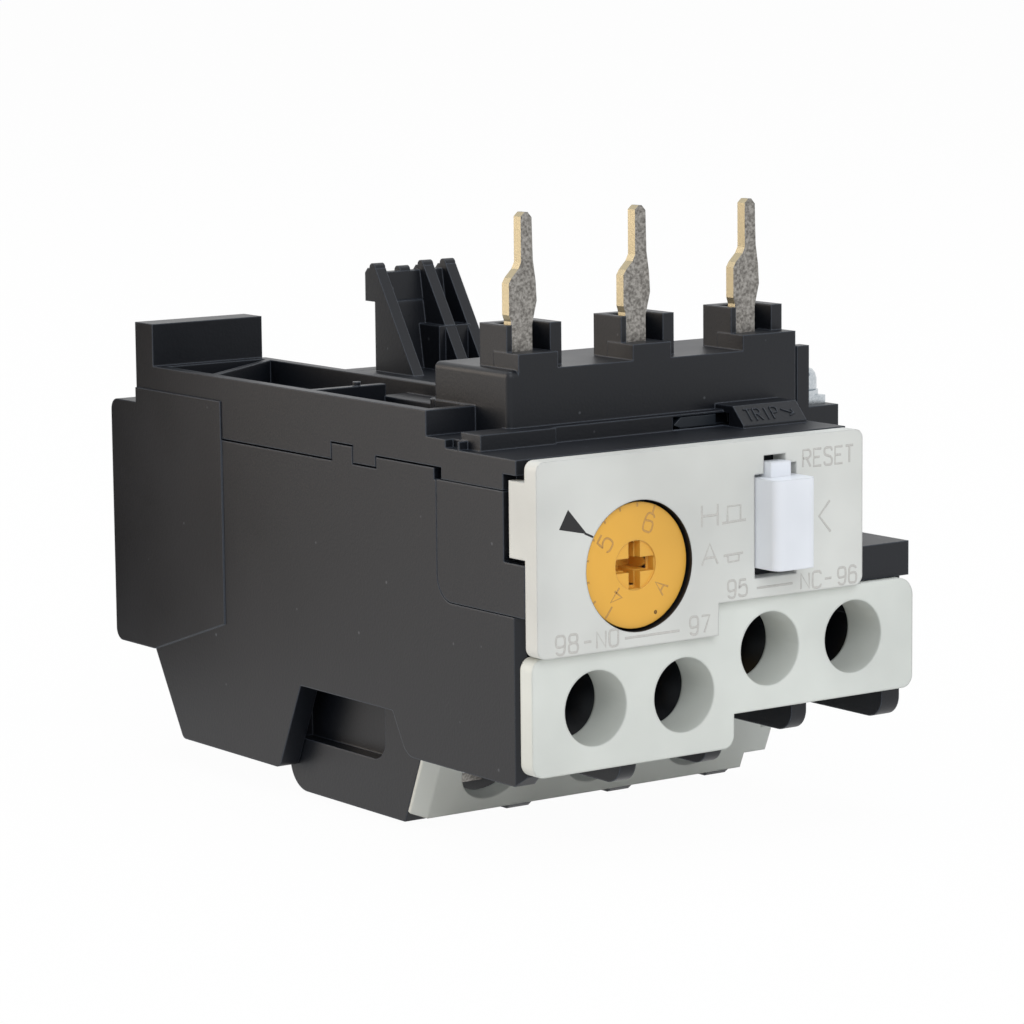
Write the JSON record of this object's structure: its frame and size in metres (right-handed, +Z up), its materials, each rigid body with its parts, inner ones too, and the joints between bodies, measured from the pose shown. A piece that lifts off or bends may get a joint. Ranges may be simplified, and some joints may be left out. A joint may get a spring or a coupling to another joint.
{
  "type": "thermal overload relay",
  "caption": "Plug-on thermal overload relay with connecting blades, setting dial, reset button, screw terminals and a bimetal trip mechanism",
  "frame": {"origin": "centre of the bounding box at its bottom, which is the lowest point of the main terminal block", "axes": "+Z up, the way the blades point; +Y towards the mounting face at the rear, so the covers face -Y; +X to the right as seen from the front"},
  "size_m": [0.0452, 0.0778, 0.0588],
  "materials": {
    "case_black": "fine matt moulding",
    "cover_grey": "fine matt moulding, warm light grey",
    "terminal_cover_grey": "fine matt moulding, light grey",
    "dial_orange": "satin orange moulding",
    "button_white": "satin white moulding",
    "slider_blue_grey": "satin moulding",
    "slide_white": "natural white moulding",
    "blade_tinned_brass": "dull tinned brass",
    "strip_copper": "bare copper strip",
    "bimetal_steel": "rolled bimetal strip",
    "sleeve_glass_silk": "woven insulating sleeve",
    "heater_alloy": "resistance ribbon",
    "zinc_steel": "bright zinc plate",
    "spring_steel": "drawn spring wire",
    "contact_brass": "stamped brass with silver pads"
  },
  "bodies": {
    "base": {"aux_clamp_washers": "zinc_steel", "aux_terminal_cover": "terminal_cover_grey", "aux_terminal_screws": "zinc_steel", "blade_1": "blade_tinned_brass", "blade_2": "blade_tinned_brass", "blade_3": "blade_tinned_brass", "coil_screw": "zinc_steel", "coil_terminal": "zinc_steel", "coil_washer": "zinc_steel", "contact_block": "case_black", "feed_strip_1": "strip_copper", "feed_strip_2": "strip_copper", "feed_strip_3": "strip_copper", "front_cover": "cover_grey", "load_terminal_1": "blade_tinned_brass", "load_terminal_2": "blade_tinned_brass", "load_terminal_3": "blade_tinned_brass", "lower_housing": "case_black", "main_clamp_washers": "zinc_steel", "main_terminal_cover": "terminal_cover_grey", "main_terminal_screws": "zinc_steel", "release_pin": "zinc_steel", "reset_spring": "spring_steel", "terminal_95": "contact_brass", "terminal_96": "contact_brass", "terminal_97": "contact_brass", "terminal_98": "contact_brass", "terminal_block": "case_black", "trip_spring": "spring_steel", "upper_housing": "case_black"},
    "adjusting_dial": {"adjusting_dial": "dial_orange"},
    "reset_button": {"reset_button": "button_white"},
    "contact_carrier": {"contact_carrier": "slide_white", "nc_bridge": "contact_brass", "no_bridge": "contact_brass"},
    "push_bar": {"push_bar": "slide_white"},
    "pull_bar": {"pull_bar": "slide_white"},
    "differential_lever": {"differential_lever": "slide_white"},
    "release_lever": {"release_lever": "slide_white"},
    "test_lever": {"test_lever": "slider_blue_grey"},
    "bimetal_1": {"bimetal_1": "bimetal_steel", "heater_sleeve_1": "sleeve_glass_silk", "heater_1": "heater_alloy"},
    "bimetal_2": {"bimetal_2": "bimetal_steel", "heater_sleeve_2": "sleeve_glass_silk", "heater_2": "heater_alloy"},
    "bimetal_3": {"bimetal_3": "bimetal_steel", "heater_sleeve_3": "sleeve_glass_silk", "heater_3": "heater_alloy"}
  },
  "joints": [
    {"name": "dial_turn", "type": "hinge", "parent": "base", "child": "adjusting_dial", "pos_m": [-0.01102, -0.0345, 0.0274], "axis": [0, 1, 0], "range_deg": [-75, 75]},
    {"name": "reset_press", "type": "slide", "parent": "base", "child": "reset_button", "axis": [0, 1, 0], "range_m": [0, 0.0022], "stiffness_N_per_m": 300, "springref_m": -0.0015, "deforming": ["reset_spring"]},
    {"name": "carrier_trip", "type": "slide", "parent": "base", "child": "contact_carrier", "axis": [0, 1, 0], "range_m": [-0.0012, 0], "deforming": ["trip_spring"]},
    {"name": "push_bar_slide", "type": "slide", "parent": "base", "child": "push_bar", "axis": [1, 0, 0], "range_m": [0, 0.0012]},
    {"name": "pull_bar_slide", "type": "slide", "parent": "base", "child": "pull_bar", "axis": [1, 0, 0], "range_m": [0, 0.0012]},
    {"name": "bimetal_1_bend", "type": "hinge", "parent": "base", "child": "bimetal_1", "pos_m": [-0.01385, 0.0222, 0.0249], "axis": [0, 0, 1], "range_deg": [0, 2.1]},
    {"name": "bimetal_2_bend", "type": "hinge", "parent": "base", "child": "bimetal_2", "pos_m": [-0.00065, 0.0222, 0.0249], "axis": [0, 0, 1], "range_deg": [0, 2.1]},
    {"name": "bimetal_3_bend", "type": "hinge", "parent": "base", "child": "bimetal_3", "pos_m": [0.01255, 0.0222, 0.0249], "axis": [0, 0, 1], "range_deg": [0, 2.1]},
    {"name": "release_turn", "type": "hinge", "parent": "base", "child": "release_lever", "pos_m": [0.0175, -0.0174, 0.0279], "axis": [0, 0, 1], "range_deg": [-13.3, 0]},
    {"name": "differential_turn", "type": "hinge", "parent": "pull_bar", "child": "differential_lever", "pos_m": [0.0153, -0.0093, 0.024], "axis": [0, 1, 0], "range_deg": [-6, 6]},
    {"name": "test_slide", "type": "slide", "parent": "base", "child": "test_lever", "axis": [1, 0, 0], "range_m": [0, 0.0015]}
  ],
  "couplings": [
    {"joint": "pull_bar_slide", "follows": "push_bar_slide", "ratio": 1},
    {"joint": "bimetal_1_bend", "follows": "push_bar_slide", "rad_per_m": 29.5},
    {"joint": "bimetal_2_bend", "follows": "push_bar_slide", "rad_per_m": 29.5},
    {"joint": "bimetal_3_bend", "follows": "push_bar_slide", "rad_per_m": 29.5},
    {"joint": "release_turn", "follows": "push_bar_slide", "rad_per_m": -192.3}
  ]
}
